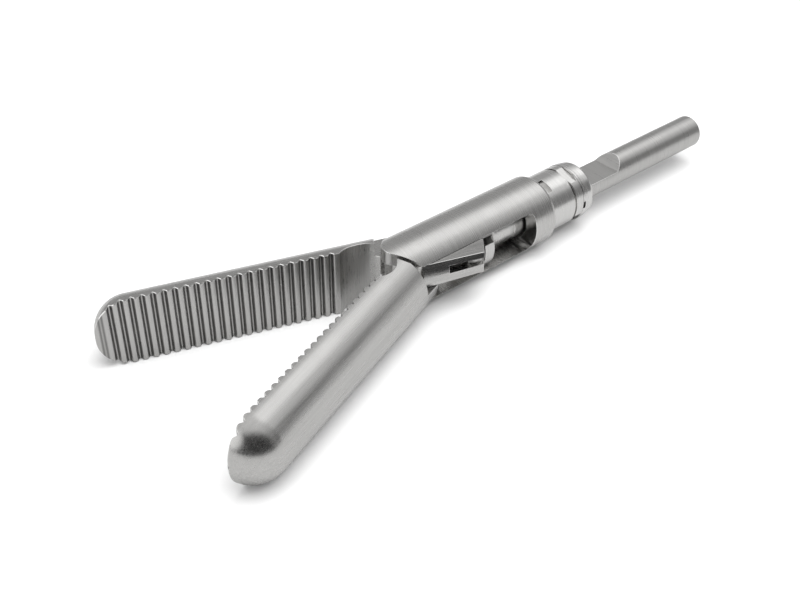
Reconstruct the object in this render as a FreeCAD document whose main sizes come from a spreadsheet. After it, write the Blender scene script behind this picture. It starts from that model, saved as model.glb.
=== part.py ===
import FreeCAD, Part
import functools
import math
import os
import re
import Sketcher

# Working tip of a laparoscopic grasper, ten millimetre family.
# X runs along the instrument toward the jaw tips and Z is the direction of the pivot pin.
# The origin lies on the tube axis, in the shoulder face where the coupling spigot starts.
# Inside a jaw, u runs from the pivot toward the tip and v across the jaw.

SIZES = {
    # Housing
    "housing_r": 5.0,
    "slot_half": 3.0,
    "slot_start": 4.2,
    "slot_corner": 0.9,
    "shoulder_round": 0.7,
    "nose_reach": 4.6,
    "nose_round": 1.8,
    "pivot_x": 23.2,
    "pivot_r": 1.5,
    "bore_room": 0.4,
    # Coupling spigot
    "spigot_r": 4.25,
    "spigot_length": 7.4,
    "shank_r": 3.9,
    "shank_length": 2.8,
    "notch_turn": 18.0,
    "notch_width": 2.4,
    "notch_length": 1.3,
    "notch_floor": 3.65,
    "facet_turn": 14.0,
    "facet_from": 4.3,
    "facet_length": 1.8,
    "facet_width": 3.2,
    "facet_slant": 0.5,
    "facet_floor": 3.85,
    "track_from": 4.55,
    "track_width": 0.4,
    "track_floor": 3.9,
    "ring_groove_from": 6.3,
    "ring_groove_width": 0.5,
    "ring_groove_floor": 3.75,
    "ring_proud": 0.05,
    "ring_mouth": 1.1,
    "neck_r": 3.45,
    "end_ring_r": 4.1,
    "end_ring_length": 1.3,
    "end_ring_round": 0.55,
    # Guide bushes
    "bush_r": 3.1,
    "bush_length": 2.6,
    "bush_recess": 0.4,
    # Pull rod
    "rod_r": 2.5,
    "rod_end": 36.0,
    "rod_chamfer": 0.45,
    "rod_joint": 6.0,
    "flat_height": 0.95,
    "flat_from": 5.5,
    "flat_to": 15.9,
    "tenon_r": 1.5,
    "tenon_length": 2.6,
    "lock_pin_r": 0.5,
    # Yoke
    "yoke_r": 4.2,
    "yoke_rim": 1.7,
    "yoke_front": 1.3,
    "yoke_pin_r": 0.75,
    # Links
    "link_length": 6.6,
    "link_thick": 0.9,
    "link_end_r": 1.35,
    "link_waist": 2.0,
    "link_level": 1.8,
    "eye_room": 0.36,
    # Jaws
    "jaw_r": 4.95,
    "jaw_length": 41.6,
    "tip_round": 4.1,
    "shoulder_u": 4.3,
    "throat_u": 7.1,
    "throat_half": 2.85,
    "throat_depth": 1.3,
    "tooth_pitch": 1.35,
    "tooth_depth": 0.45,
    "tooth_first": 10.3,
    "face_gap": 0.08,
    "boss_r": 3.9,
    "tang_r": 4.85,
    "tang_from": 1.2,
    "near_open": 21.0,
    "far_open": 18.5,
    # Jaw tails
    "tail_reach": 8.3,
    "tail_turn": 16.0,
    "tail_pin_r": 0.5,
    "tail_tip_on": 0.82,
    "tail_tip_up": 1.96,
    "tail_heel_on": 2.12,
    "tail_heel_down": 1.29,
    "tail_root_v": 3.0,
    "fork_from": 3.7,
    # Clearances
    "press_gap": 0.01,
    "run_gap": 0.03,
    "flat_gap": 0.05,
    "sweep_gap": 0.3,
}

# Counts
TOOTH_COUNT = 23
NOTCH_COUNT = 3

doc = FreeCAD.newDocument("GrasperTip")
sheet = doc.addObject("Spreadsheet::Sheet", "Dims")
for row, (alias, size) in enumerate(SIZES.items(), start=1):
    sheet.set("A%d" % row, alias)
    sheet.set("B%d" % row, str(size))
    sheet.setAlias("B%d" % row, alias)
doc.recompute()

WORD = re.compile(r"[a-z]+(?:_[a-z]+)+")

# Formulas that several pieces share
NOSE_APEX = "(pivot_x + nose_reach + nose_round * (sqrt(2) - 1))"
MEAN_TURN = "(tail_turn + (near_open + far_open) / 2)"
YOKE_X = ("(pivot_x - tail_reach * cos({0}) - sqrt(link_length ^ 2 - (tail_reach * sin({0})) ^ 2))"
          .format(MEAN_TURN))
YOKE_FRONT = "(%s + yoke_front)" % YOKE_X
FLARE_FROM = "(%s - yoke_rim - 1.1 * (yoke_r - rod_r))" % YOKE_FRONT
LINK_SLOT_HALF = "(link_thick / 2 + flat_gap)"
LINK_ROOM = "(link_end_r + sweep_gap)"
BUSH_SEAT = "(bush_r + press_gap)"
SEAT = "(shank_r + press_gap)"
BORE = "(rod_r + bore_room)"
BORE_END = "(slot_start + slot_corner)"
THROAT_R = "((throat_half ^ 2 + throat_depth ^ 2) / (2 * throat_depth))"
TANG_TOP = "(slot_half - flat_gap)"
LOCK_X = "(rod_joint + tenon_length / 2)"
BEYOND = "(2 * housing_r)"
TAIL_PIN_U = "(tail_reach * cos(tail_turn))"
TAIL_PIN_V = "(tail_reach * sin(tail_turn))"
BEHIND_TAIL = "(-%s - tail_heel_on - %s)" % (TAIL_PIN_U, BEYOND)


def bound(formula):
    """Point every size named in a formula at its cell of the sheet."""
    return WORD.sub(lambda word: "Dims." + word.group() if word.group() in SIZES else word.group(), formula)


def minus(formula):
    return "(-(%s))" % formula


def new_body(label):
    """Start one solid piece."""
    body = doc.addObject("PartDesign::Body", label + "_body")
    body.Label = label
    return body


def new_sketch(body, role, height=None, turn=None):
    """Put a sketch on one of the piece's origin planes, raised and turned about X on request."""
    sketch = body.newObject("Sketcher::SketchObject", "Outline")
    plane = next(item for item in body.Origin.OriginFeatures if item.Role == role)
    sketch.AttachmentSupport = (plane, "")
    sketch.MapMode = "FlatFace"
    if turn is not None:
        sketch.AttachmentOffset = FreeCAD.Placement(
            FreeCAD.Vector(), FreeCAD.Rotation(FreeCAD.Vector(-1, 0, 0), 1.0))
        sketch.setExpression(".AttachmentOffset.Rotation.Angle", bound(turn))
        sketch.setExpression(".AttachmentOffset.Base.y", bound("%s * sin(%s)" % (height, turn)))
        sketch.setExpression(".AttachmentOffset.Base.z", bound("%s * cos(%s)" % (height, turn)))
    elif height is not None:
        sketch.setExpression(".AttachmentOffset.Base.z", bound(height))
    return sketch


@functools.lru_cache(maxsize=None)
def worth(formula):
    """The present value of a formula, worked out in a spare cell of the sheet."""
    sheet.set("D1", "=" + formula)
    sheet.recompute()
    return float(sheet.get("D1"))


def hold(sketch, kind, geometry, point, formula):
    """Hold one coordinate of a sketch's point at a formula."""
    number = sketch.addConstraint(Sketcher.Constraint(kind, geometry, point, worth(formula)))
    sketch.setExpression("Constraints[%d]" % number, bound(formula))


def draw_polygon(sketch, corners, arcs=None):
    """Draw a closed outline whose corners are pairs of formulas.

    arcs names the sides that are arcs of less than half a turn: each has its centre's place across,
    and 1 where it runs counter-clockwise or -1 where it runs clockwise.
    """
    arcs = arcs or {}
    count = len(corners)
    places = [FreeCAD.Vector(worth(across), worth(up), 0) for across, up in corners]
    ends = []
    for i in range(count):
        first, second = places[i], places[(i + 1) % count]
        centre, run = arcs.get(i, (None, 1))
        ends.append((1, 2) if run > 0 else (2, 1))
        if centre is None:
            sketch.addGeometry(Part.LineSegment(first, second), False)
            continue
        x = worth(centre)
        excess = (first.x - x) ** 2 - (second.x - x) ** 2 + first.y ** 2 - second.y ** 2
        middle = FreeCAD.Vector(x, excess / (2 * (first.y - second.y)), 0)
        start, stop = [point - middle for point in ((first, second) if run > 0 else (second, first))]
        start_angle = math.atan2(start.y, start.x)
        circle = Part.Circle(middle, FreeCAD.Vector(0, 0, 1), start.Length)
        sketch.addGeometry(Part.ArcOfCircle(circle, start_angle, start_angle + start.getAngle(stop)), False)
    for i in range(count):
        after = (i + 1) % count
        sketch.addConstraint(Sketcher.Constraint("Coincident", i, ends[i][1], after, ends[after][0]))
    for i, (across, up) in enumerate(corners):
        hold(sketch, "DistanceX", i, ends[i][0], across)
        hold(sketch, "DistanceY", i, ends[i][0], up)
    for i, (centre, _) in arcs.items():
        hold(sketch, "DistanceX", i, 3, centre)


def draw_rectangle(sketch, left, right, low, high):
    draw_polygon(sketch, [(left, low), (right, low), (right, high), (left, high)])


def draw_circle(sketch, across, up, radius):
    """Draw a circle whose centre and radius are formulas."""
    centre = FreeCAD.Vector(worth(across), worth(up), 0)
    number = sketch.addGeometry(Part.Circle(centre, FreeCAD.Vector(0, 0, 1), worth(radius)), False)
    hold(sketch, "DistanceX", number, 3, across)
    hold(sketch, "DistanceY", number, 3, up)
    size = sketch.addConstraint(Sketcher.Constraint("Radius", number, worth(radius)))
    sketch.setExpression("Constraints[%d]" % size, bound(radius))


def add_feature(body, kind, sketch):
    feature = body.newObject("PartDesign::" + kind, kind)
    feature.Profile = sketch
    sketch.Visibility = False
    return feature


def spin(body, kind, corners, arcs=None, angle=360, role="XZ_Plane", balanced=False):
    """Revolve or groove an outline about the sketch's own X axis."""
    sketch = new_sketch(body, role)
    draw_polygon(sketch, corners, arcs)
    feature = add_feature(body, kind, sketch)
    feature.ReferenceAxis = (sketch, ["H_Axis"])
    feature.Angle = angle
    feature.Midplane = balanced
    return feature


def cut_through(body, role, draw, *sizes):
    """Cut an outline right through the piece, both ways from its plane."""
    sketch = new_sketch(body, role)
    draw(sketch, *sizes)
    feature = add_feature(body, "Pocket", sketch)
    feature.Type = "ThroughAll"
    feature.Midplane = True
    return feature


def pad_between(body, low, high, draw, *sizes):
    """Raise an outline from one height to another."""
    sketch = new_sketch(body, "XY_Plane", low)
    draw(sketch, *sizes)
    feature = add_feature(body, "Pad", sketch)
    feature.setExpression("Length", bound("%s - %s" % (high, low)))


def cut_between(body, low, high, draw, *sizes):
    """Cut an outline away from one height up to another."""
    sketch = new_sketch(body, "XY_Plane", low)
    draw(sketch, *sizes)
    feature = add_feature(body, "Pocket", sketch)
    feature.Reversed = True
    feature.setExpression("Length", bound("%s - %s" % (high, low)))


def cut_outward(body, floor, turn, corners, count):
    """Mill a flat-bottomed recess in a round surface and repeat it around the X axis."""
    sketch = new_sketch(body, "XY_Plane", floor, turn)
    draw_polygon(sketch, corners)
    feature = add_feature(body, "Pocket", sketch)
    feature.Reversed = True
    feature.setExpression("Length", bound("housing_r"))
    pattern = body.newObject("PartDesign::PolarPattern", "AroundAxis")
    pattern.Originals = [feature]
    axis = next(item for item in body.Origin.OriginFeatures if item.Role == "X_Axis")
    pattern.Axis = (axis, [""])
    pattern.Angle = 360
    pattern.Occurrences = count
    body.Tip = pattern


def round_edges(body, radius, wanted):
    """Round the edges of the piece that pass a test."""
    doc.recompute()
    base = body.Tip
    names = ["Edge%d" % number for number, edge in enumerate(base.Shape.Edges, start=1) if wanted(edge)]
    feature = body.newObject("PartDesign::Fillet", "Fillet")
    feature.Base = (base, names)
    feature.setExpression("Radius", bound(radius))


def round_edge(x, reach):
    """Test for a round edge about the X axis, at one place along it and of one radius."""
    def test(edge):
        box = edge.BoundBox
        flat = abs(box.XMin - x) < 0.001 and abs(box.XMax - x) < 0.001
        return flat and abs(max(abs(box.ZMax), abs(box.ZMin)) - reach) < 0.001 and len(edge.Vertexes) < 3
    return test


def turn_about_z(body, x, y, axis_up, angle):
    """Place a piece in the instrument and turn it about Z."""
    body.Placement = FreeCAD.Placement(
        FreeCAD.Vector(), FreeCAD.Rotation(FreeCAD.Vector(0, 0, axis_up), 1.0))
    body.setExpression("Placement.Base.x", bound(x))
    body.setExpression("Placement.Base.y", bound(y))
    body.setExpression("Placement.Rotation.Angle", bound(angle))


def make_housing():
    """The slotted tube: two ears with pointed noses carry the jaws' pivot pin."""
    body = new_body("housing")
    spin(body, "Revolution", [
        ("0", "0"), (NOSE_APEX, "0"), (NOSE_APEX, "housing_r"), ("0", "housing_r")], role="XY_Plane")
    round_edges(body, "shoulder_round", round_edge(0.0, SIZES["housing_r"]))
    cut_through(body, "XZ_Plane", draw_rectangle, "slot_start", NOSE_APEX + " + 1",
                "-slot_half", "slot_half")
    round_edges(body, "slot_corner", lambda edge: edge.BoundBox.XMax < SIZES["slot_start"] + 0.001
                and edge.BoundBox.ZLength < 0.001 and edge.BoundBox.YLength > SIZES["housing_r"])
    for side in ("1", "-1"):
        far = "%s * %s" % (side, BEYOND)
        cut_through(body, "XY_Plane", draw_polygon, [
            (NOSE_APEX, "0"), (NOSE_APEX + " + 1", "0"), (NOSE_APEX + " + 1", far),
            ("%s - %s" % (NOSE_APEX, BEYOND), far)])
    doc.recompute()
    apex = body.Shape.BoundBox.XMax
    round_edges(body, "nose_round", lambda edge: edge.BoundBox.XMin > apex - 0.001)
    cut_through(body, "XY_Plane", draw_circle, "pivot_x", "0", "pivot_r + press_gap")
    spin(body, "Groove", [
        ("0", "0"), (BORE_END, "0"), (BORE_END, BORE), ("shank_length", BORE),
        ("shank_length", SEAT), ("0", SEAT)], role="XY_Plane")
    return body


def make_spigot():
    """The turned coupling spigot, with its locking notches, lead-in facets and ring grooves."""
    body = new_body("coupling_spigot")
    front = "(shank_length - flat_gap)"
    rear = "(-(spigot_length + end_ring_length))"
    spin(body, "Revolution", [
        (rear, BUSH_SEAT), (front, BUSH_SEAT), (front, "shank_r"), ("0", "shank_r"),
        ("0", "spigot_r"), ("-spigot_length", "spigot_r"), ("-spigot_length", "neck_r"), (rear, "neck_r")])
    for start, width, floor in (("track_from", "track_width", "track_floor"),
                                ("ring_groove_from", "ring_groove_width", "ring_groove_floor")):
        spin(body, "Groove", [
            (minus(start), floor), (minus(start), "housing_r"),
            ("-%s - %s" % (start, width), "housing_r"), ("-%s - %s" % (start, width), floor)])
    cut_outward(body, "notch_floor", "notch_turn", [
        ("0", "-notch_width / 2"), ("0", "notch_width / 2"),
        ("-notch_length", "notch_width / 2"), ("-notch_length", "-notch_width / 2")], NOTCH_COUNT)
    cut_outward(body, "facet_floor", "facet_turn", [
        ("-facet_from", "facet_width / 2"), ("-facet_from - facet_slant", "-facet_width / 2"),
        ("-facet_from - facet_slant - facet_length", "-facet_width / 2"),
        ("-facet_from - facet_length", "facet_width / 2")], NOTCH_COUNT)
    return body


def make_ring(label, front, length, inner, outer):
    """A plain turned ring on the X axis."""
    body = new_body(label)
    back = "%s - %s" % (front, length)
    spin(body, "Revolution", [(back, inner), (front, inner), (front, outer), (back, outer)])
    return body


def make_rings():
    """The rings carried by the spigot: two guide bushes, a snap ring and the rounded end ring."""
    front_bush = make_ring("front_guide_bush", "(shank_length - bush_recess)", "bush_length",
                           "(rod_r + run_gap)", "bush_r")
    rear_bush = make_ring("rear_guide_bush",
                          "(bush_length - spigot_length - end_ring_length + bush_recess)", "bush_length",
                          "(rod_r + run_gap)", "bush_r")
    snap_ring = make_ring("snap_ring", "(-ring_groove_from - flat_gap)",
                          "(ring_groove_width - 2 * flat_gap)",
                          "(ring_groove_floor + press_gap)", "(spigot_r + ring_proud)")
    cut_outward(snap_ring, "0", "notch_turn + 20", [
        ("0", "-ring_mouth / 2"), ("0", "ring_mouth / 2"),
        (minus(BEYOND), "ring_mouth / 2"), (minus(BEYOND), "-ring_mouth / 2")], 1)
    end_ring = make_ring("spigot_end_ring", "(-spigot_length - press_gap)", "(end_ring_length - press_gap)",
                         "(neck_r + press_gap)", "end_ring_r")
    end = SIZES["spigot_length"] + SIZES["end_ring_length"]
    round_edges(end_ring, "end_ring_round", round_edge(-end, SIZES["end_ring_r"]))
    return [front_bush, rear_bush, snap_ring, end_ring]


def make_pull_rod():
    """The pull rod: a flat for the handle's catch, a bevelled rear end and a tenon for the yoke."""
    body = new_body("pull_rod")
    spin(body, "Revolution", [
        ("-rod_end", "0"), ("-rod_end", "rod_r - rod_chamfer"), ("-rod_end + rod_chamfer", "rod_r"),
        ("rod_joint", "rod_r"), ("rod_joint", "tenon_r"),
        ("rod_joint + tenon_length", "tenon_r"), ("rod_joint + tenon_length", "0")])
    rise = "(rod_r + 1 - flat_height)"
    cut_through(body, "XZ_Plane", draw_polygon, [
        ("-flat_from", "flat_height"), ("-flat_to", "flat_height"),
        ("-flat_to - " + rise, "rod_r + 1"), ("-flat_from + " + rise, "rod_r + 1")])
    cut_through(body, "XY_Plane", draw_circle, LOCK_X, "0", "lock_pin_r + press_gap")
    return body


def make_yoke():
    """The flared head on the rod: it slides between the ears and holds both links on one pin."""
    body = new_body("rod_yoke")
    spin(body, "Revolution", [
        ("rod_joint", "0"), (YOKE_FRONT, "0"), (YOKE_FRONT, "yoke_r"),
        (YOKE_FRONT + " - yoke_rim", "yoke_r"), (FLARE_FROM, "rod_r"), ("rod_joint", "rod_r")],
         arcs={3: (FLARE_FROM, -1)})
    spin(body, "Groove", [
        ("rod_joint", "0"), ("rod_joint + tenon_length + flat_gap", "0"),
        ("rod_joint + tenon_length + flat_gap", "tenon_r + press_gap"),
        ("rod_joint", "tenon_r + press_gap")])
    for side in ("1", "-1"):
        cut_through(body, "XZ_Plane", draw_rectangle, "rod_joint", YOKE_FRONT + " + 1",
                    "%s * %s" % (side, TANG_TOP), "%s * %s" % (side, BEYOND))
        middle = "(%s * link_level)" % side
        cut_between(body, "(%s - %s)" % (middle, LINK_SLOT_HALF), "(%s + %s)" % (middle, LINK_SLOT_HALF),
                    draw_rectangle, "%s - %s" % (YOKE_X, LINK_ROOM), YOKE_FRONT + " + 1",
                    "%s * %s" % (side, minus(LINK_ROOM)), "%s * %s" % (side, BEYOND))
    cut_through(body, "XY_Plane", draw_circle, YOKE_X, "0", "yoke_pin_r + press_gap")
    cut_through(body, "XY_Plane", draw_circle, LOCK_X, "0", "lock_pin_r + press_gap")
    return body


def make_pin(label, x, y, radius, low, high):
    """A plain upright pin."""
    pin = doc.addObject("Part::Cylinder", label + "_pin")
    pin.Label = label
    pin.setExpression("Radius", bound(radius))
    pin.setExpression("Height", bound("%s - %s" % (high, low)))
    for axis, formula in (("x", x), ("y", y), ("z", low)):
        pin.setExpression("Placement.Base." + axis, bound(formula))
    return pin


def make_pivot_pin():
    """The jaws' pivot pin, dressed flush with the outside of the tube."""
    blank = make_pin("pivot_blank", "pivot_x", "0", "pivot_r", "(-housing_r)", "housing_r")
    skin = doc.addObject("Part::Cylinder", "pivot_skin")
    skin.setExpression("Radius", bound("housing_r"))
    skin.setExpression("Height", bound("2 * housing_r"))
    skin.Placement = FreeCAD.Placement(FreeCAD.Vector(), FreeCAD.Rotation(FreeCAD.Vector(0, 1, 0), 90))
    skin.setExpression("Placement.Base.x", bound("pivot_x - housing_r"))
    pin = doc.addObject("Part::Common", "pivot_common")
    pin.Base = blank
    pin.Tool = skin
    pin.Label = "pivot_pin"
    return pin


def make_jaw(label, side, opening, tooth_shift):
    """A half-round jaw with a toothed face, a half-lapped tang and a forked tail.

    The near jaw (side 1) lies toward +Y and its tang is the lower one.
    """
    body = new_body(label)
    across = lambda formula: "(%d * (%s))" % (side, formula)
    heights = [across(minus(TANG_TOP)), across("-flat_gap")]
    low, high = heights if side > 0 else heights[::-1]
    pad_between(body, low, high, draw_polygon, [
        ("0", "0"), ("shoulder_u + 1", "0"), ("shoulder_u + 1", across("jaw_r")),
        ("tang_from", across("jaw_r"))])
    pad_between(body, low, high, draw_circle, "0", "0", "boss_r")
    pad_between(body, low, high, draw_polygon, [
        ("0", across("-tang_r")),
        ("-%s - tail_tip_on" % TAIL_PIN_U, across("-%s - tail_tip_up" % TAIL_PIN_V)),
        ("-%s - tail_heel_on" % TAIL_PIN_U, across("-%s + tail_heel_down" % TAIL_PIN_V)),
        ("0", across("tail_root_v"))])
    spin(body, "Groove", [
        (BEHIND_TAIL, "tang_r"), (BEYOND, "tang_r"), (BEYOND, BEYOND), (BEHIND_TAIL, BEYOND)])
    spin(body, "Revolution", [
        ("shoulder_u", "0"), ("jaw_length", "0"), ("jaw_length", across("jaw_r - tip_round")),
        ("jaw_length - tip_round", across("jaw_r")), ("shoulder_u", across("jaw_r"))],
         arcs={2: ("jaw_length - tip_round", side)}, angle=180, role="XY_Plane", balanced=True)
    valley = "(tooth_first + %s)" % tooth_shift
    before = "(%s - tooth_pitch / 2)" % valley
    after = "(%s + tooth_pitch / 2)" % valley
    above, face, deep = across("-1"), across("face_gap"), across("face_gap + tooth_depth")
    teeth = cut_through(body, "XY_Plane", draw_polygon, [
        (before, above), (after, above), (after, face), (valley, deep), (before, face)],
                        {2: (after, -side), 3: (before, -side)})
    pattern = body.newObject("PartDesign::LinearPattern", "Teeth")
    pattern.Originals = [teeth]
    pattern.Direction = (teeth.Profile[0], ["H_Axis"])
    pattern.Occurrences = TOOTH_COUNT
    pattern.setExpression("Length", bound("tooth_pitch * %d" % (TOOTH_COUNT - 1)))
    body.Tip = pattern
    last = "(%s + tooth_pitch * %d)" % (after, TOOTH_COUNT - 1)
    cut_through(body, "XY_Plane", draw_rectangle, "shoulder_u", before, above, face)
    cut_through(body, "XY_Plane", draw_rectangle, last, "(jaw_length + 1)", above, face)
    cut_through(body, "XY_Plane", draw_circle, "throat_u", across("throat_depth - " + THROAT_R), THROAT_R)
    sweep = "(nose_reach + sweep_gap)"
    cut_between(body, TANG_TOP, BEYOND, draw_circle, "0", "0", sweep)
    cut_between(body, minus(BEYOND), minus(TANG_TOP), draw_circle, "0", "0", sweep)
    cut_through(body, "XY_Plane", draw_circle, "0", "0", "pivot_r + run_gap")
    cut_through(body, "XY_Plane", draw_circle, minus(TAIL_PIN_U), across(minus(TAIL_PIN_V)),
                "tail_pin_r + press_gap")
    middle = across("-link_level")
    cut_between(body, "(%s - %s)" % (middle, LINK_SLOT_HALF), "(%s + %s)" % (middle, LINK_SLOT_HALF),
                draw_rectangle, BEHIND_TAIL, "-fork_from", minus(BEYOND), BEYOND)
    turn_about_z(body, "pivot_x", "0", side, opening)
    return body


def make_link(label, side, opening):
    """A flat link with a close eye on the yoke's pin and a roomy one on the tail's pin."""
    body = new_body(label)
    middle = "(%d * link_level)" % -side
    low = "(%s - link_thick / 2)" % middle
    high = "(%s + link_thick / 2)" % middle
    pad_between(body, low, high, draw_circle, "0", "0", "link_end_r")
    pad_between(body, low, high, draw_circle, "link_length", "0", "link_end_r")
    pad_between(body, low, high, draw_rectangle, "0", "link_length", "-link_waist / 2", "link_waist / 2")
    cut_through(body, "XY_Plane", draw_circle, "0", "0", "yoke_pin_r + run_gap")
    cut_through(body, "XY_Plane", draw_circle, "link_length", "0", "tail_pin_r + eye_room")
    rise = "(tail_reach * sin(tail_turn + %s))" % opening
    run = "(pivot_x - tail_reach * cos(tail_turn + %s) - %s)" % (opening, YOKE_X)
    turn_about_z(body, YOKE_X, "0", -side, "atan2(%s; %s)" % (rise, run))
    return body


def make_tail_pin(label, side, opening):
    """The pin that closes a tail's fork over its link."""
    x = "(pivot_x - tail_reach * cos(tail_turn + %s))" % opening
    y = "(%d * tail_reach * sin(tail_turn + %s))" % (-side, opening)
    heights = ["(%d * %s)" % (-side, TANG_TOP), "(%d * flat_gap)" % -side]
    low, high = heights if side > 0 else heights[::-1]
    return make_pin(label, x, y, "tail_pin_r", low, high)


pieces = [make_housing(), make_spigot()] + make_rings() + [make_pivot_pin(), make_pull_rod(), make_yoke()]
pieces.append(make_pin("yoke_pin", YOKE_X, "0", "yoke_pin_r", minus(TANG_TOP), TANG_TOP))
pieces.append(make_pin("yoke_lock_pin", LOCK_X, "0", "lock_pin_r",
                       "(-rod_r + flat_gap)", "(rod_r - flat_gap)"))
for name, side, opening, tooth_shift in (("near", 1, "near_open", "0"),
                                         ("far", -1, "far_open", "tooth_pitch / 2")):
    pieces.append(make_jaw(name + "_jaw", side, opening, tooth_shift))
    pieces.append(make_tail_pin(name + "_tail_pin", side, opening))
    pieces.append(make_link(name + "_link", side, opening))
doc.recompute()

sheet.clear("D1")
doc.recompute()
for item in doc.Objects:
    if "Invalid" in item.State or "Error" in item.State:
        raise RuntimeError("%s did not build: %s" % (item.Label, item.State))
for piece in pieces:
    if piece.Shape.isNull() or not piece.Shape.isValid() or len(piece.Shape.Solids) != 1:
        raise RuntimeError("%s is not one sound solid" % piece.Label)

os.makedirs("parts", exist_ok=True)
for piece in pieces:
    piece.Shape.exportStep(os.path.join("parts", piece.Label + ".step"))
    box = piece.Shape.BoundBox
    print("%-18s %9.2f mm3  x %.2f..%.2f  y %.2f..%.2f  z %.2f..%.2f" % (
        piece.Label, piece.Shape.Volume, box.XMin, box.XMax, box.YMin, box.YMax, box.ZMin, box.ZMax))
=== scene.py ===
import math

import bmesh
import bpy
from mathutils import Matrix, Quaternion, Vector
from mathutils.bvhtree import BVHTree
from mathutils.interpolate import poly_3d_calc


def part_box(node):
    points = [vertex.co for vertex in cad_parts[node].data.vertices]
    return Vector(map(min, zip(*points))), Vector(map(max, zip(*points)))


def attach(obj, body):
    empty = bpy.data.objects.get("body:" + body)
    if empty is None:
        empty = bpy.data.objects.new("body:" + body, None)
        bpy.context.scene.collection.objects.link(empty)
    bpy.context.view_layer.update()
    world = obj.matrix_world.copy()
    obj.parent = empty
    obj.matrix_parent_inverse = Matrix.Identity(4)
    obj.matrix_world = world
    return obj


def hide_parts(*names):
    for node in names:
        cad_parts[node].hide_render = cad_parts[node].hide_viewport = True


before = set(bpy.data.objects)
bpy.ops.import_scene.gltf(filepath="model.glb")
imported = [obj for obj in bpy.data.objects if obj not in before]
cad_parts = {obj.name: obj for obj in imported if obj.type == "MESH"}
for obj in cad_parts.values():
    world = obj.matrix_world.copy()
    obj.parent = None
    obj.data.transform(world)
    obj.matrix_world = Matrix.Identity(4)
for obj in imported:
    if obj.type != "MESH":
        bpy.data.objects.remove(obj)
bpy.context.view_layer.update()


# Housing
# The slotted tube that carries everything: stainless bar, turned, bored and slotted, then brushed
# around its axis on a belt. Every outer edge is broken by a few hundredths of a millimetre.
TUBE_CENTRE = (0.0, 0.0, 0.0)
BRUSHED_ROUND = (0.00009, 0.006, 0.006)
HANDLING_MARK = (0.004, 0.004, 0.004)
SEPARATE_CORNER = math.radians(28)


def steel(name, tone, gloss, lines, turn=0.0, centre=TUBE_CENTRE, depth=4e-6, grooves=None):
    """Brushed stainless steel whose lines run around or along a piece.

    tone is the metal's grey, gloss its lowest and highest roughness, and lines the size of one brushed
    line in each direction of the piece's own axes, which may lie turned about centre in the instrument.
    depth is the lines' depth. grooves is where the first groove between teeth lies and how far apart
    they are: shade is painted darker into the colour of their flanks.
    """
    finish = bpy.data.materials.new(name)
    finish.use_nodes = True
    nodes, links = finish.node_tree.nodes, finish.node_tree.links
    shader = nodes["Principled BSDF"]
    shader.inputs["Metallic"].default_value = 1.0
    place = nodes.new("ShaderNodeTexCoord")

    def pattern(sizes, detail, label):
        """A cloud of marks, each about as large as sizes says."""
        spread = nodes.new("ShaderNodeMapping")
        spread.vector_type = "TEXTURE"
        spread.inputs["Location"].default_value = centre
        spread.inputs["Rotation"].default_value = (0.0, 0.0, turn)
        spread.inputs["Scale"].default_value = sizes
        links.new(place.outputs["Object"], spread.inputs["Vector"])
        noise = nodes.new("ShaderNodeTexNoise")
        noise.label = label
        noise.inputs["Scale"].default_value = 1.0
        noise.inputs["Detail"].default_value = detail
        noise.inputs["Roughness"].default_value = 0.6
        links.new(spread.outputs["Vector"], noise.inputs["Vector"])
        return noise.outputs["Fac"]

    def ranged(value, low, high, smallest=0.3, largest=0.7):
        """The value between smallest and largest, spread from low to high."""
        scale = nodes.new("ShaderNodeMapRange")
        scale.inputs["From Min"].default_value = smallest
        scale.inputs["From Max"].default_value = largest
        scale.inputs["To Min"].default_value = low
        scale.inputs["To Max"].default_value = high
        links.new(value, scale.inputs["Value"])
        return scale.outputs["Result"]

    brushing = pattern(lines, 3.0, "Brushed lines")
    scratches = pattern([size * 3.1 for size in lines], 2.0, "Deeper scratches")
    handling = pattern(HANDLING_MARK, 3.0, "Handling marks")

    both = nodes.new("ShaderNodeMath")
    both.operation = "MULTIPLY_ADD"
    both.inputs[1].default_value = 0.6
    links.new(scratches, both.inputs[0])
    links.new(brushing, both.inputs[2])

    colour = nodes.new("ShaderNodeMix")
    colour.data_type = "RGBA"
    colour.inputs["A"].default_value = [part * 0.9 for part in tone] + [1.0]
    colour.inputs["B"].default_value = [min(1.0, part * 1.08) for part in tone] + [1.0]
    links.new(ranged(both.outputs["Value"], 0.0, 1.0, 0.5, 1.1), colour.inputs["Factor"])
    metal = colour.outputs["Result"]
    # Painted shade: with grooves given, the colour is darkened on the groove flanks.
    if grooves:
        metal = painted_flank_shade(nodes, links, metal, place, (centre, turn), grooves)
    links.new(metal, shader.inputs["Base Color"])

    dulled = nodes.new("ShaderNodeMath")
    dulled.operation = "ADD"
    links.new(ranged(brushing, gloss[0], gloss[1]), dulled.inputs[0])
    links.new(ranged(handling, -0.02, 0.04), dulled.inputs[1])
    links.new(dulled.outputs["Value"], shader.inputs["Roughness"])

    relief = nodes.new("ShaderNodeBump")
    relief.inputs["Strength"].default_value = 1.0
    relief.inputs["Distance"].default_value = depth
    links.new(both.outputs["Value"], relief.inputs["Height"])
    links.new(relief.outputs["Normal"], shader.inputs["Normal"])
    return finish


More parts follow.
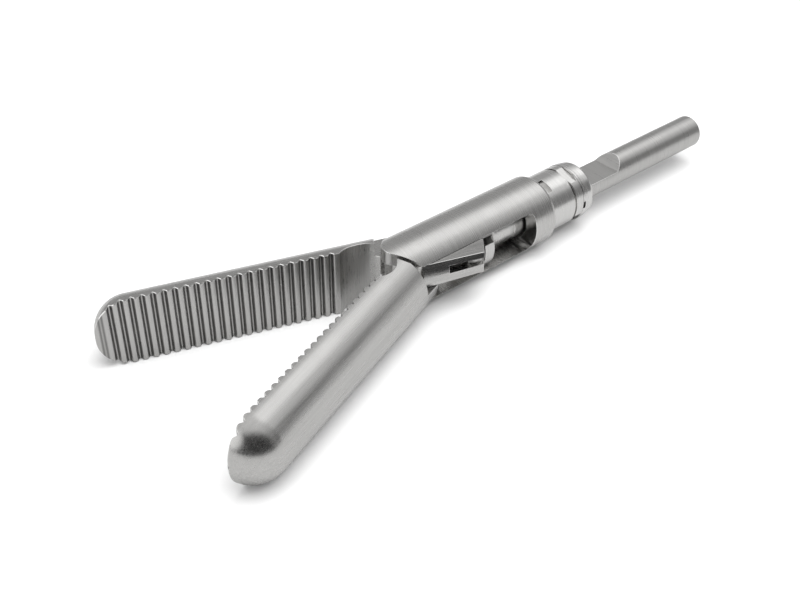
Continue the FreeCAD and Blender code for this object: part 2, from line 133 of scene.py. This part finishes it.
def painted_flank_shade(nodes, links, metal, place, axes, grooves):
    """The metal's colour with painted shade, darker on the flanks of evenly spaced cross grooves than
    between them.
    """
    along = nodes.new("ShaderNodeMapping")
    along.vector_type = "TEXTURE"
    along.inputs["Location"].default_value = axes[0]
    along.inputs["Rotation"].default_value = (0.0, 0.0, axes[1])
    links.new(place.outputs["Object"], along.inputs["Vector"])
    parts = nodes.new("ShaderNodeSeparateXYZ")
    links.new(along.outputs["Vector"], parts.inputs["Vector"])
    steps = nodes.new("ShaderNodeMapRange")
    steps.clamp = False
    steps.inputs["From Min"].default_value = grooves[0]
    steps.inputs["From Max"].default_value = grooves[0] + grooves[1]
    links.new(parts.outputs["X"], steps.inputs["Value"])
    nearest = nodes.new("ShaderNodeMath")
    nearest.operation = "PINGPONG"
    nearest.inputs[1].default_value = 0.5
    links.new(steps.outputs["Result"], nearest.inputs[0])
    # Painted shade: the flanks get 0.45 of the metal's colour, the groove bottoms 0.8 and the crests 1.0.
    flank = nodes.new("ShaderNodeValToRGB")
    flank.color_ramp.elements[0].color = (0.8, 0.8, 0.79, 1.0)
    flank.color_ramp.elements[1].position = 0.5
    for position, tone in ((0.04, 0.8), (0.1, 0.45), (0.2, 0.45), (0.32, 1.0)):
        flank.color_ramp.elements.new(position).color = (tone, tone, tone, 1.0)
    links.new(nearest.outputs["Value"], flank.inputs["Fac"])
    # The painted shade starts at the first groove and has no end, so it also falls past the last groove,
    # where the jaw has no groove.
    toothed = nodes.new("ShaderNodeMath")
    toothed.operation = "GREATER_THAN"
    toothed.inputs[1].default_value = -0.4
    links.new(steps.outputs["Result"], toothed.inputs[0])
    darker = nodes.new("ShaderNodeMix")
    darker.data_type = "RGBA"
    darker.blend_type = "MULTIPLY"
    links.new(toothed.outputs["Value"], darker.inputs["Factor"])
    links.new(metal, darker.inputs["A"])
    links.new(flank.outputs["Color"], darker.inputs["B"])
    return darker.outputs["Result"]


def true_normals(mesh, source):
    """Give a finished mesh the exact surface directions of the solid that it was cut from.

    Broken edges, whose faces have the second material, turn smoothly from one surface to the next.
    """
    corners = [source.vertices[corner.vertex_index].co for corner in source.loops]
    ways = [Vector(corner.vector) for corner in source.corner_normals]
    tree = BVHTree.FromPolygons([vertex.co for vertex in source.vertices],
                                [face.vertices for face in source.polygons])
    found = [Vector((0.0, 0.0, 1.0))] * len(mesh.loops)
    at_vertex = {}
    for face in mesh.polygons:
        count = face.loop_total
        for step in range(count):
            corner = face.loop_start + step
            here = mesh.loops[corner].vertex_index
            if face.material_index == 1:
                continue
            before = mesh.vertices[mesh.loops[face.loop_start + (step - 1) % count].vertex_index].co
            after = mesh.vertices[mesh.loops[face.loop_start + (step + 1) % count].vertex_index].co
            point = mesh.vertices[here].co
            inward = face.normal.cross(after - before).normalized()
            _, _, index, _ = tree.find_nearest(point + inward * 2e-5)
            start = source.polygons[index].loop_start
            weights = poly_3d_calc(corners[start:start + 3], point)
            way = sum((ways[start + i] * weights[i] for i in range(3)), Vector()).normalized()
            if way.dot(face.normal) < 0.8:
                way = face.normal.copy()
            found[corner] = way
            at_vertex.setdefault(here, Vector())
            at_vertex[here] += way
    between = {}
    for face in mesh.polygons:
        for here in face.vertices:
            between.setdefault(here, Vector())
            between[here] += face.normal
    for face in mesh.polygons:
        if face.material_index == 1:
            for corner in face.loop_indices:
                here = mesh.loops[corner].vertex_index
                found[corner] = at_vertex.get(here, between[here]).normalized()
    mesh.shade_smooth()
    mesh.normals_split_custom_set(found)


def settled(piece):
    """The piece's mesh as its modifiers leave it, with the modifiers taken off."""
    evaluated = piece.evaluated_get(bpy.context.evaluated_depsgraph_get())
    finished = bpy.data.meshes.new_from_object(evaluated)
    piece.modifiers.clear()
    piece.data = finished
    return finished


def given_to(piece, node, body, slot):
    """Let a finished piece stand for a solid and move with its body."""
    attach(piece, body)
    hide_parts(node)


def machined(node, finishes, edge_width, flush_pins=(), cut=None):
    """A welded copy of a solid with its outer edges broken.

    An edge around a pin that is ground flush stays sharp. cut is a point and a direction: what lies
    beyond is left out, and the copy is closed there.
    """
    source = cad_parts[node].data
    work = bmesh.new()
    work.from_mesh(source)
    bmesh.ops.remove_doubles(work, verts=work.verts, dist=1e-6)
    if cut:
        parts = work.verts[:] + work.edges[:] + work.faces[:]
        made = bmesh.ops.bisect_plane(work, geom=parts, dist=1e-7, plane_co=cut[0], plane_no=cut[1],
                                      clear_outer=True)
        rim = [part for part in made["geom_cut"] if isinstance(part, bmesh.types.BMEdge)]
        bmesh.ops.edgeloop_fill(work, edges=rim)
    bmesh.ops.dissolve_limit(work, angle_limit=math.radians(0.2), verts=work.verts, edges=work.edges)

    def left_sharp(edge):
        for pin in flush_pins:
            low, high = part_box(pin)
            middle, reach = (low + high) / 2, (high.x - low.x) / 2 + 5e-5
            if all((end.co - middle).xy.length < reach for end in edge.verts):
                return True
        return cut and all(abs((end.co - cut[0]).dot(cut[1])) < 1e-6 for end in edge.verts)

    weight = work.edges.layers.float.new("bevel_weight_edge")
    for edge in work.edges:
        if len(edge.link_faces) == 2 and edge.is_convex and edge.calc_face_angle() > SEPARATE_CORNER:
            edge[weight] = 0.0 if left_sharp(edge) else 1.0
    mesh = bpy.data.meshes.new(node + "_finished")
    work.to_mesh(mesh)
    work.free()
    piece = bpy.data.objects.new(node + "_finished", mesh)
    bpy.context.scene.collection.objects.link(piece)
    for finish in finishes:
        mesh.materials.append(finish)
    broken = piece.modifiers.new("Broken edges", "BEVEL")
    broken.limit_method = "WEIGHT"
    broken.offset_type = "OFFSET"
    broken.width = edge_width
    broken.segments = 2
    broken.use_clamp_overlap = False
    # The broken edges take the second finish, whose brighter colour is a painted highlight.
    broken.material = 1
    true_normals(settled(piece), source)
    return piece


# The edge breaks are real bevels. Their tone of 0.86, brighter than any piece's own steel, is a painted
# highlight along them.
edge_steel_painted_bright = steel("Steel painted bright at an edge", (0.86, 0.855, 0.845), (0.2, 0.28),
                   (0.0004, 0.0004, 0.0004), depth=1e-6)
housing_steel = steel("Housing steel brushed around", (0.58, 0.575, 0.565), (0.2, 0.31), BRUSHED_ROUND,
                      depth=2e-6)
housing = machined("housing", [housing_steel, edge_steel_painted_bright], 0.00007, flush_pins=["pivot_pin"])
given_to(housing, "housing", "tube", "housing_steel")


# Pivot pin
# A hardened pin pressed through both ears and ground flush with the tube before it is brushed, so
# that on the outside it can hardly be told from the housing.
given_to(machined("pivot_pin", [housing_steel, edge_steel_painted_bright], 0.00001), "pivot_pin", "tube", "pin_steel")


# Coupling spigot
# The turned plug behind the shoulder that locks into the shaft: three notches, three slanted lead-in
# facets and a groove for the snap ring, left bright from the lathe.
spigot_steel = steel("Spigot steel bright from the lathe", (0.68, 0.675, 0.665), (0.16, 0.27),
                     (0.00006, 0.006, 0.006), depth=2e-6)
spigot = machined("coupling_spigot", [spigot_steel, edge_steel_painted_bright], 0.00005)
given_to(spigot, "coupling_spigot", "tube", "spigot_steel")


# Rings on the spigot
# A split snap ring sprung into its groove and the two polymer bushes that guide the rod, each one
# section swept around the tube's axis, and the polished round ring pressed on the spigot's end.
def ring_tree():
    """Nodes that sweep a rounded section around the X axis, all the way or with a mouth."""
    tree = bpy.data.node_groups.new("Turned ring", "GeometryNodeTree")
    tree.is_modifier = True
    face = tree.interface
    for label, kind in (("Middle radius", "NodeSocketFloat"), ("Wall", "NodeSocketFloat"),
                        ("Length", "NodeSocketFloat"), ("Rounding", "NodeSocketFloat"),
                        ("Centre along", "NodeSocketFloat"), ("Mouth start", "NodeSocketFloat"),
                        ("Sweep", "NodeSocketFloat"), ("Finish", "NodeSocketMaterial")):
        face.new_socket(label, in_out="INPUT", socket_type=kind)
    face.new_socket("Ring", in_out="OUTPUT", socket_type="NodeSocketGeometry")
    nodes, links = tree.nodes, tree.links
    given = nodes.new("NodeGroupInput").outputs
    path = nodes.new("GeometryNodeCurveArc")
    path.mode = "RADIUS"
    path.inputs["Resolution"].default_value = 145
    links.new(given["Middle radius"], path.inputs["Radius"])
    links.new(given["Mouth start"], path.inputs["Start Angle"])
    links.new(given["Sweep"], path.inputs["Sweep Angle"])
    section = nodes.new("GeometryNodeCurvePrimitiveQuadrilateral")
    links.new(given["Wall"], section.inputs["Width"])
    links.new(given["Length"], section.inputs["Height"])
    rounded = nodes.new("GeometryNodeFilletCurve")
    rounded.mode = "POLY"
    rounded.inputs["Count"].default_value = 5
    links.new(section.outputs["Curve"], rounded.inputs["Curve"])
    links.new(given["Rounding"], rounded.inputs["Radius"])
    swept = nodes.new("GeometryNodeCurveToMesh")
    swept.inputs["Fill Caps"].default_value = True
    links.new(path.outputs["Curve"], swept.inputs["Curve"])
    links.new(rounded.outputs["Curve"], swept.inputs["Profile Curve"])
    closed = nodes.new("GeometryNodeMergeByDistance")
    closed.inputs["Distance"].default_value = 1e-7
    links.new(swept.outputs["Mesh"], closed.inputs["Geometry"])
    centre = nodes.new("ShaderNodeCombineXYZ")
    links.new(given["Centre along"], centre.inputs["X"])
    upright = nodes.new("GeometryNodeTransform")
    upright.inputs["Rotation"].default_value = (math.radians(90), 0.0, math.radians(90))
    links.new(closed.outputs["Geometry"], upright.inputs["Geometry"])
    links.new(centre.outputs["Vector"], upright.inputs["Translation"])
    whole = nodes.new("GeometryNodeRealizeInstances")
    links.new(upright.outputs["Geometry"], whole.inputs["Geometry"])
    finish = nodes.new("GeometryNodeSetMaterial")
    links.new(whole.outputs["Geometry"], finish.inputs["Geometry"])
    links.new(given["Finish"], finish.inputs["Material"])
    result = nodes.new("NodeGroupOutput")
    links.new(finish.outputs["Geometry"], result.inputs["Ring"])
    return tree


def grown(name, tree, sizes):
    """One piece grown by a tree of geometry nodes, given by its inputs' names, as a plain mesh."""
    piece = bpy.data.objects.new(name, bpy.data.meshes.new(name))
    bpy.context.scene.collection.objects.link(piece)
    growth = piece.modifiers.new("Growth", "NODES")
    growth.node_group = tree
    for socket in tree.interface.items_tree:
        if socket.in_out == "INPUT" and socket.name in sizes:
            growth[socket.identifier] = sizes[socket.name]
    settled(piece)
    return piece


turned_ring = ring_tree()
ring_steel = steel("Ring steel polished", (0.70, 0.695, 0.685), (0.12, 0.22), (0.0001, 0.006, 0.006),
                   depth=1e-6)
bush_polymer = bpy.data.materials.new("Bush polymer")
bush_polymer.use_nodes = True
bush_nodes, bush_links = bush_polymer.node_tree.nodes, bush_polymer.node_tree.links
bush_grain = bush_nodes.new("ShaderNodeTexNoise")
bush_grain.inputs["Scale"].default_value = 4000.0
bush_place = bush_nodes.new("ShaderNodeTexCoord")
bush_tone = bush_nodes.new("ShaderNodeValToRGB")
bush_tone.color_ramp.elements[0].color = (0.72, 0.71, 0.67, 1.0)
bush_tone.color_ramp.elements[1].color = (0.82, 0.81, 0.78, 1.0)
bush_links.new(bush_place.outputs["Object"], bush_grain.inputs["Vector"])
bush_links.new(bush_grain.outputs["Fac"], bush_tone.inputs["Fac"])
bush_links.new(bush_tone.outputs["Color"], bush_nodes["Principled BSDF"].inputs["Base Color"])
bush_nodes["Principled BSDF"].inputs["Roughness"].default_value = 0.45

FULL_TURN = math.radians(360)
for node, inner, outer, rounding, finish, slot, mouth in (
        ("snap_ring", 0.00376, 0.0043, 0.0001, ring_steel, "ring_steel", 0.26),
        ("front_guide_bush", 0.00253, 0.0031, 0.00015, bush_polymer, "bush_polymer", 0.0),
        ("rear_guide_bush", 0.00253, 0.0031, 0.00015, bush_polymer, "bush_polymer", 0.0)):
    low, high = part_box(node)
    ring = grown(node + "_turned", turned_ring, {
        "Middle radius": (inner + outer) / 2, "Wall": outer - inner, "Length": high.x - low.x,
        "Rounding": rounding, "Centre along": (high.x + low.x) / 2, "Mouth start": mouth / 2,
        "Sweep": FULL_TURN - mouth, "Finish": finish})
    ring.data.shade_smooth()
    ring.data.set_sharp_from_angle(angle=math.radians(40))
    given_to(ring, node, "tube", slot)
given_to(machined("spigot_end_ring", [ring_steel, edge_steel_painted_bright], 0.00003), "spigot_end_ring", "tube",
         "ring_steel")


# Pull rod
# The centreless-ground rod that opens and closes the jaws, with a milled flat for the handle's catch
# and a bevelled rear end.
rod_steel = steel("Rod steel ground", (0.54, 0.535, 0.525), (0.26, 0.36), (0.0001, 0.005, 0.005))
given_to(machined("pull_rod", [rod_steel, edge_steel_painted_bright], 0.00006), "pull_rod", "rod", "rod_steel")


# Yoke
# The flared head on the rod's front end, turned with it and slotted for the two links; it runs
# between the ears and is held to the rod by a cross pin.
yoke_steel = steel("Yoke steel turned", (0.64, 0.635, 0.625), (0.24, 0.34), (0.0002, 0.005, 0.005),
                   depth=1e-6)
pin_steel = steel("Pin steel ground bright", (0.62, 0.615, 0.605), (0.24, 0.34), (0.00012, 0.004, 0.004))
given_to(machined("rod_yoke", [yoke_steel, edge_steel_painted_bright], 0.00004), "rod_yoke", "rod", "yoke_steel")
for pin in ("yoke_pin", "yoke_lock_pin"):
    given_to(machined(pin, [pin_steel, edge_steel_painted_bright], 0.00003), pin, "rod", "pin_steel")


# Jaws
# Two half-round jaws milled from bar with 23 and 22 cross grooves, a half-lapped tang that turns on
# the pivot pin and a forked tail that takes its link. Brushed lengthwise after milling.
PIVOT = (0.0232, 0.0, 0.0)
BAR_START = 0.00540625
TOOTH_PITCH = 0.00135
ACROSS, AROUND = 8, 44
PER_TOOTH, LONG_STEPS, TIP_STEPS = 32, 852, 14


def jaw_tree():
    """Nodes that loft a half-round jaw along u, with v from its face to its back and w upwards.

    Each section is a chord at the depth of the teeth or throat there, and an arc at the back. The
    sections shrink over the rounded tip and close to a point at both ends.
    """
    tree = bpy.data.node_groups.new("Half-round toothed jaw", "GeometryNodeTree")
    tree.is_modifier = True
    for label in ("Radius", "Start", "Length", "Tip rounding", "Face gap", "First valley", "Tooth pitch",
                  "Tooth depth", "Groove half", "Teeth", "Throat middle", "Throat half", "Throat depth",
                  "Edge break", "Side", "Opening", "Pivot along"):
        tree.interface.new_socket(label, in_out="INPUT", socket_type="NodeSocketFloat")
    for label in ("Back finish", "Tooth finish", "Edge finish"):
        tree.interface.new_socket(label, in_out="INPUT", socket_type="NodeSocketMaterial")
    tree.interface.new_socket("Jaw", in_out="OUTPUT", socket_type="NodeSocketGeometry")
    nodes, links = tree.nodes, tree.links
    given = nodes.new("NodeGroupInput").outputs

    def calc(operation, *values):
        node = nodes.new("ShaderNodeMath")
        node.operation = operation
        for socket, value in zip(node.inputs, values):
            if isinstance(value, (int, float)):
                socket.default_value = value
            else:
                links.new(value, socket)
        return node.outputs["Value"]

    def plus(*values):
        total = values[0]
        for value in values[1:]:
            total = calc("ADD", total, value)
        return total

    def times(*values):
        total = values[0]
        for value in values[1:]:
            total = calc("MULTIPLY", total, value)
        return total

    def minus(first, second):
        return calc("SUBTRACT", first, second)

    def over(first, second):
        return calc("DIVIDE", first, second)

    def square(value):
        return times(value, value)

    def leg(long_side, short_side):
        return calc("SQRT", calc("MAXIMUM", minus(square(long_side), square(short_side)), 0.0))

    def arc_radius(half, depth):
        return over(plus(square(half), square(depth)), times(depth, 2.0))

    def chosen(test, otherwise, where_true):
        return plus(otherwise, times(test, minus(where_true, otherwise)))

    columns, last = ACROSS + AROUND + 1, LONG_STEPS + TIP_STEPS
    blank = nodes.new("GeometryNodeMeshGrid")
    blank.inputs["Vertices X"].default_value = last + 3
    blank.inputs["Vertices Y"].default_value = columns
    index = nodes.new("GeometryNodeInputIndex").outputs["Index"]
    row = calc("FLOOR", over(plus(index, 0.5), float(columns)))
    column = calc("MODULO", minus(index, times(row, float(columns))), float(columns - 1))
    along = calc("MINIMUM", calc("MAXIMUM", minus(row, 1.0), 0.0), float(last))

    step = over(given["Tooth pitch"], float(PER_TOOTH))
    tip_start = minus(given["Length"], given["Tip rounding"])
    straight = plus(given["Start"], times(calc("MINIMUM", along, float(LONG_STEPS)), step))
    reached = minus(plus(given["Start"], times(step, float(LONG_STEPS))), tip_start)
    first_turn = calc("ARCSINE", over(reached, given["Tip rounding"]))
    share = over(calc("MAXIMUM", minus(along, float(LONG_STEPS)), 0.0), float(TIP_STEPS))
    tip_turn = plus(first_turn, times(share, minus(math.pi / 2, first_turn)))
    rounded = plus(tip_start, times(given["Tip rounding"], calc("SINE", tip_turn)))
    u = chosen(calc("GREATER_THAN", along, LONG_STEPS + 0.5), straight, rounded)
    beyond = calc("MAXIMUM", minus(u, tip_start), 0.0)
    radius = plus(minus(given["Radius"], given["Tip rounding"]), leg(given["Tip rounding"], beyond))

    pitches = over(minus(u, given["First valley"]), given["Tooth pitch"])
    from_valley = calc("ABSOLUTE", minus(calc("FRACT", plus(pitches, 0.5)), 0.5))
    from_crest = times(minus(0.5, from_valley), given["Tooth pitch"])
    crest_radius = arc_radius(times(given["Tooth pitch"], 0.5), given["Tooth depth"])
    notch = minus(crest_radius, leg(crest_radius, from_crest))
    flank_share = over(minus(given["Groove half"], times(from_valley, given["Tooth pitch"])),
                       times(given["Groove half"], 0.85))
    flank = times(flank_share, given["Tooth depth"])
    cut = calc("SMOOTH_MAX", notch, flank, times(given["Tooth depth"], 0.1))
    worn = calc("SMOOTH_MIN", cut, times(given["Tooth depth"], 0.97), times(given["Tooth depth"], 0.12))
    toothed = times(calc("GREATER_THAN", pitches, -0.5),
                    calc("LESS_THAN", pitches, minus(given["Teeth"], 0.5)))
    throat_radius = arc_radius(given["Throat half"], given["Throat depth"])
    throat = plus(minus(given["Throat depth"], throat_radius),
                  leg(throat_radius, minus(u, given["Throat middle"])))
    face = calc("MAXIMUM", plus(given["Face gap"], times(toothed, worn)), throat)

    half = leg(radius, face)
    on_chord = times(minus(times(column, 2.0 / (ACROSS - 1)), 1.0), minus(half, given["Edge break"]))
    first_angle = plus(calc("ARCSINE", over(face, radius)), over(given["Edge break"], radius))
    arc_share = times(minus(column, float(ACROSS)), 1.0 / (AROUND - 1))
    angle = plus(first_angle, times(arc_share, minus(math.pi, times(first_angle, 2.0))))
    at_back = calc("GREATER_THAN", column, ACROSS - 0.5)
    v = chosen(at_back, face, times(radius, calc("SINE", angle)))
    w = chosen(at_back, on_chord, times(radius, calc("COSINE", angle)))
    at_end = plus(calc("LESS_THAN", row, 0.5), calc("GREATER_THAN", row, last + 1.5))
    v = chosen(at_end, v, times(plus(face, radius), 0.5))
    w = chosen(at_end, w, 0.0)

    spot = nodes.new("ShaderNodeCombineXYZ")
    for socket, value in zip(spot.inputs, (u, times(given["Side"], v), times(given["Side"], w))):
        links.new(value, socket)
    lofted = nodes.new("GeometryNodeSetPosition")
    links.new(blank.outputs["Mesh"], lofted.inputs["Geometry"])
    links.new(spot.outputs["Vector"], lofted.inputs["Position"])
    strips = float(columns - 1)
    strip = minus(index, times(calc("FLOOR", over(plus(index, 0.5), strips)), strips))
    kept = nodes.new("GeometryNodeStoreNamedAttribute")
    kept.data_type = "FLOAT"
    kept.domain = "FACE"
    kept.inputs["Name"].default_value = "strip"
    links.new(lofted.outputs["Geometry"], kept.inputs["Geometry"])
    links.new(strip, kept.inputs["Value"])
    welded = nodes.new("GeometryNodeMergeByDistance")
    welded.inputs["Distance"].default_value = 2e-7
    links.new(kept.outputs["Geometry"], welded.inputs["Geometry"])
    placed = nodes.new("GeometryNodeTransform")
    turned, moved = nodes.new("ShaderNodeCombineXYZ"), nodes.new("ShaderNodeCombineXYZ")
    links.new(given["Opening"], turned.inputs["Z"])
    links.new(given["Pivot along"], moved.inputs["X"])
    links.new(welded.outputs["Geometry"], placed.inputs["Geometry"])
    links.new(turned.outputs["Vector"], placed.inputs["Rotation"])
    links.new(moved.outputs["Vector"], placed.inputs["Translation"])
    whole = nodes.new("GeometryNodeRealizeInstances")
    links.new(placed.outputs["Geometry"], whole.inputs["Geometry"])
    shape = whole.outputs["Geometry"]
    named = nodes.new("GeometryNodeInputNamedAttribute")
    named.data_type = "FLOAT"
    named.inputs["Name"].default_value = "strip"
    strip = named.outputs["Attribute"]
    # The rim strips take the edge finish, whose brighter colour is a painted highlight.
    on_rim = plus(calc("COMPARE", strip, ACROSS - 1.0, 0.25),
                  calc("COMPARE", strip, columns - 2.0, 0.25))
    for label, where in (("Back finish", 1.0), ("Tooth finish", calc("LESS_THAN", strip, ACROSS - 1.5)),
                         ("Edge finish", on_rim)):
        dressed = nodes.new("GeometryNodeSetMaterial")
        links.new(shape, dressed.inputs["Geometry"])
        if where != 1.0:
            links.new(where, dressed.inputs["Selection"])
        links.new(given[label], dressed.inputs["Material"])
        shape = dressed.outputs["Geometry"]
    links.new(shape, nodes.new("NodeGroupOutput").inputs["Jaw"])
    return tree


def joined(name, pieces):
    """One piece made of several, which keep their materials and surface directions."""
    points, faces, marks, ways, finishes = [], [], [], [], []
    for piece in pieces:
        mesh, offset = piece.data, len(points)
        points += [tuple(vertex.co) for vertex in mesh.vertices]
        faces += [[offset + corner for corner in face.vertices] for face in mesh.polygons]
        for finish in mesh.materials:
            if finish not in finishes:
                finishes.append(finish)
        marks += [finishes.index(mesh.materials[face.material_index]) for face in mesh.polygons]
        ways += [tuple(corner.vector) for corner in mesh.corner_normals]
        bpy.data.objects.remove(piece)
    whole = bpy.data.meshes.new(name)
    whole.from_pydata(points, [], faces)
    for finish in finishes:
        whole.materials.append(finish)
    whole.polygons.foreach_set("material_index", marks)
    whole.shade_smooth()
    whole.normals_split_custom_set(ways)
    result = bpy.data.objects.new(name, whole)
    bpy.context.scene.collection.objects.link(result)
    return result


half_round_jaw = jaw_tree()
for name, side, turn, first_valley, teeth in (("near", 1.0, math.radians(21.0), 0.0103, 23.0),
                                              ("far", -1.0, math.radians(-18.5), 0.010975, 22.0)):
    jaw_steel = steel("Jaw steel brushed, %s" % name, (0.54, 0.535, 0.525), (0.2, 0.29),
                      (0.006, 0.00024, 0.00024), turn=turn, centre=PIVOT, depth=1e-6)
    # The tooth steel's colour holds painted shade on the groove flanks.
    tooth_steel = steel("Tooth steel milled, %s" % name, (0.54, 0.535, 0.525), (0.24, 0.36),
                        (0.00012, 0.003, 0.003), turn=turn, centre=PIVOT, depth=1e-6,
                        grooves=(first_valley, TOOTH_PITCH))
    outward = Vector((math.cos(turn), math.sin(turn), 0.0))
    heel = machined(name + "_jaw", [jaw_steel, edge_steel_painted_bright], 0.00006, flush_pins=[name + "_tail_pin"],
                    cut=(Vector(PIVOT) + outward * BAR_START, outward))
    bar = grown(name + "_bar", half_round_jaw, {
        "Radius": 0.00495, "Start": BAR_START, "Length": 0.0416, "Tip rounding": 0.0045,
        "Face gap": 0.00008, "First valley": first_valley, "Tooth pitch": TOOTH_PITCH,
        "Tooth depth": 0.0005, "Groove half": 0.00044, "Teeth": teeth, "Throat middle": 0.0071,
        "Throat half": 0.00285, "Throat depth": 0.0013, "Edge break": 0.0001,
        "Side": side, "Opening": turn, "Pivot along": PIVOT[0],
        "Back finish": jaw_steel, "Tooth finish": tooth_steel, "Edge finish": edge_steel_painted_bright})
    bar.data.shade_smooth()
    bar.data.set_sharp_from_angle(angle=math.radians(30))
    given_to(joined(name + "_jaw_finished", [heel, bar]), name + "_jaw", name + "_jaw", "jaw_steel")
    given_to(machined(name + "_tail_pin", [jaw_steel, edge_steel_painted_bright], 0.00001), name + "_tail_pin",
             name + "_jaw", "pin_steel")


# Links
# Flat stampings that join the yoke's pin to each jaw's tail, tumbled until their edges are soft.
link_steel = steel("Link steel tumbled", (0.56, 0.555, 0.545), (0.3, 0.42), (0.0006, 0.0003, 0.0003))
for side in ("near", "far"):
    given_to(machined(side + "_link", [link_steel, edge_steel_painted_bright], 0.00006), side + "_link", side + "_link",
             "link_steel")


# Studio
# A white sheet under the instrument in a grey room. A wide soft light stands to the right of the
# camera, smaller ones beside it and to the left; the room behind the camera is dark, which gives
# the polished roundings their black accents. A softbox overhead casts the shadow.
SHEET_REACH, SHEET_LEVEL = 2.0, -0.005
floor_mesh = bpy.data.meshes.new("white_sheet")
floor_mesh.from_pydata([(-SHEET_REACH, -SHEET_REACH, SHEET_LEVEL), (SHEET_REACH, -SHEET_REACH, SHEET_LEVEL),
                        (SHEET_REACH, SHEET_REACH, SHEET_LEVEL), (-SHEET_REACH, SHEET_REACH, SHEET_LEVEL)],
                       [], [(0, 1, 2, 3)])
floor = bpy.data.objects.new("white_sheet", floor_mesh)
bpy.context.scene.collection.objects.link(floor)
sheet = bpy.data.materials.new("White sheet")
sheet.use_nodes = True
floor_mesh.materials.append(sheet)
sheet_nodes, sheet_links = sheet.node_tree.nodes, sheet.node_tree.links
sheet_shader = sheet_nodes["Principled BSDF"]
sheet_shader.inputs["Roughness"].default_value = 1.0
sheet_shader.inputs["Specular IOR Level"].default_value = 0.0
sheet_shader.inputs["Emission Color"].default_value = (1.0, 1.0, 1.0, 1.0)
sheet_ray = sheet_nodes.new("ShaderNodeLightPath")
# Painted shade: to glossy rays the sheet is 0.6 instead of 0.86, so the metal reflects a darker floor than
# the lit one.
sheet_tone_shaded_in_reflections = sheet_nodes.new("ShaderNodeMix")
sheet_tone_shaded_in_reflections.data_type = "RGBA"
sheet_tone_shaded_in_reflections.inputs["A"].default_value = (0.86, 0.86, 0.86, 1.0)
sheet_tone_shaded_in_reflections.inputs["B"].default_value = (0.6, 0.6, 0.6, 1.0)
sheet_links.new(sheet_ray.outputs["Is Glossy Ray"], sheet_tone_shaded_in_reflections.inputs["Factor"])
sheet_links.new(sheet_tone_shaded_in_reflections.outputs["Result"], sheet_shader.inputs["Base Color"])
sheet_lift = sheet_nodes.new("ShaderNodeMath")
sheet_lift.operation = "MULTIPLY"
sheet_lift.inputs[1].default_value = 0.05
sheet_links.new(sheet_ray.outputs["Is Camera Ray"], sheet_lift.inputs[0])
sheet_links.new(sheet_lift.outputs["Value"], sheet_shader.inputs["Emission Strength"])

world = bpy.data.worlds.new("Studio")
bpy.context.scene.world = world
world.use_nodes = True
room, room_links = world.node_tree.nodes, world.node_tree.links
looking = room.new("ShaderNodeTexCoord").outputs["Generated"]
room_tone = None
for label, azimuth, elevation, inner, outer, tone in (
        ("Grey room", 0, 90, 178, 180, 0.42),
        ("Ceiling", 150, 85, 15, 50, 0.85),
        ("Dark room behind the camera", 62, 3, 46, 67, 0.05),
        ("Dark end of the room", 186, -2, 8, 26, 0.1),
        ("Dark corner on the right", 138, 15, 6, 21, 0.22),
        ("Pale wall on the right", 155, 2, 5, 13, 0.74),
        ("Small lamp on the right", 158, 37, 4, 14, 0.74),
        ("Wide light on the right", 185, 46, 14, 33, 0.8),
        ("Its bright middle", 186, 54, 5, 22, 1.36),
        ("Lamp over the tip", 285, 50, 5, 16, 1.0),
        ("Light on the left", 352, 28, 18, 34, 1.25)):
    middle = room.new("ShaderNodeVectorMath")
    middle.label = label
    middle.operation = "DOT_PRODUCT"
    flat, rise = math.radians(azimuth), math.radians(elevation)
    middle.inputs[1].default_value = (math.cos(flat) * math.cos(rise), math.sin(flat) * math.cos(rise),
                                      math.sin(rise))
    room_links.new(looking, middle.inputs[0])
    share = room.new("ShaderNodeMapRange")
    share.interpolation_type = "SMOOTHSTEP"
    share.inputs["From Min"].default_value = math.cos(math.radians(outer))
    share.inputs["From Max"].default_value = math.cos(math.radians(inner))
    room_links.new(middle.outputs["Value"], share.inputs["Value"])
    blend = room.new("ShaderNodeMix")
    blend.data_type = "RGBA"
    blend.inputs["A"].default_value = (tone, tone, tone, 1.0)
    blend.inputs["B"].default_value = (tone, tone, tone, 1.0)
    room_links.new(share.outputs["Result"], blend.inputs["Factor"])
    if room_tone:
        room_links.new(room_tone, blend.inputs["A"])
    room_tone = blend.outputs["Result"]
room_ray = room.new("ShaderNodeLightPath")
seen = room.new("ShaderNodeMix")
seen.data_type = "RGBA"
seen.inputs["B"].default_value = (1.0, 1.0, 1.0, 1.0)
room_links.new(room_ray.outputs["Is Camera Ray"], seen.inputs["Factor"])
room_links.new(room_tone, seen.inputs["A"])
room_links.new(seen.outputs["Result"], room["Background"].inputs["Color"])

lamp = bpy.data.lights.new("Overhead softbox", "AREA")
lamp.shape = "RECTANGLE"
lamp.size, lamp.size_y = 0.5, 0.5
lamp.energy = 2.9
softbox = bpy.data.objects.new("Overhead softbox", lamp)
bpy.context.scene.collection.objects.link(softbox)
softbox.location = (0.0, 0.14, 0.48)
to_jaws = Vector((0.02, 0.0, 0.0)) - softbox.location
softbox.rotation_euler = to_jaws.to_track_quat("-Z", "Y").to_euler()
softbox.visible_glossy = False

camera = bpy.data.cameras.new("Camera")
camera.lens = 50.13
camera.sensor_width = 36.0
tripod = bpy.data.objects.new("Camera", camera)
bpy.context.scene.collection.objects.link(tripod)
tripod.location = (0.10265, 0.09022, 0.08779)
aim = Vector((0.01488, -0.0117, -0.01617)) - tripod.location
tilt = Quaternion((0.0, 0.0, 1.0), math.radians(0.69))
tripod.rotation_euler = (aim.to_track_quat("-Z", "Y") @ tilt).to_euler()
bpy.context.scene.camera = tripod
bpy.context.scene.view_settings.view_transform = "Standard"
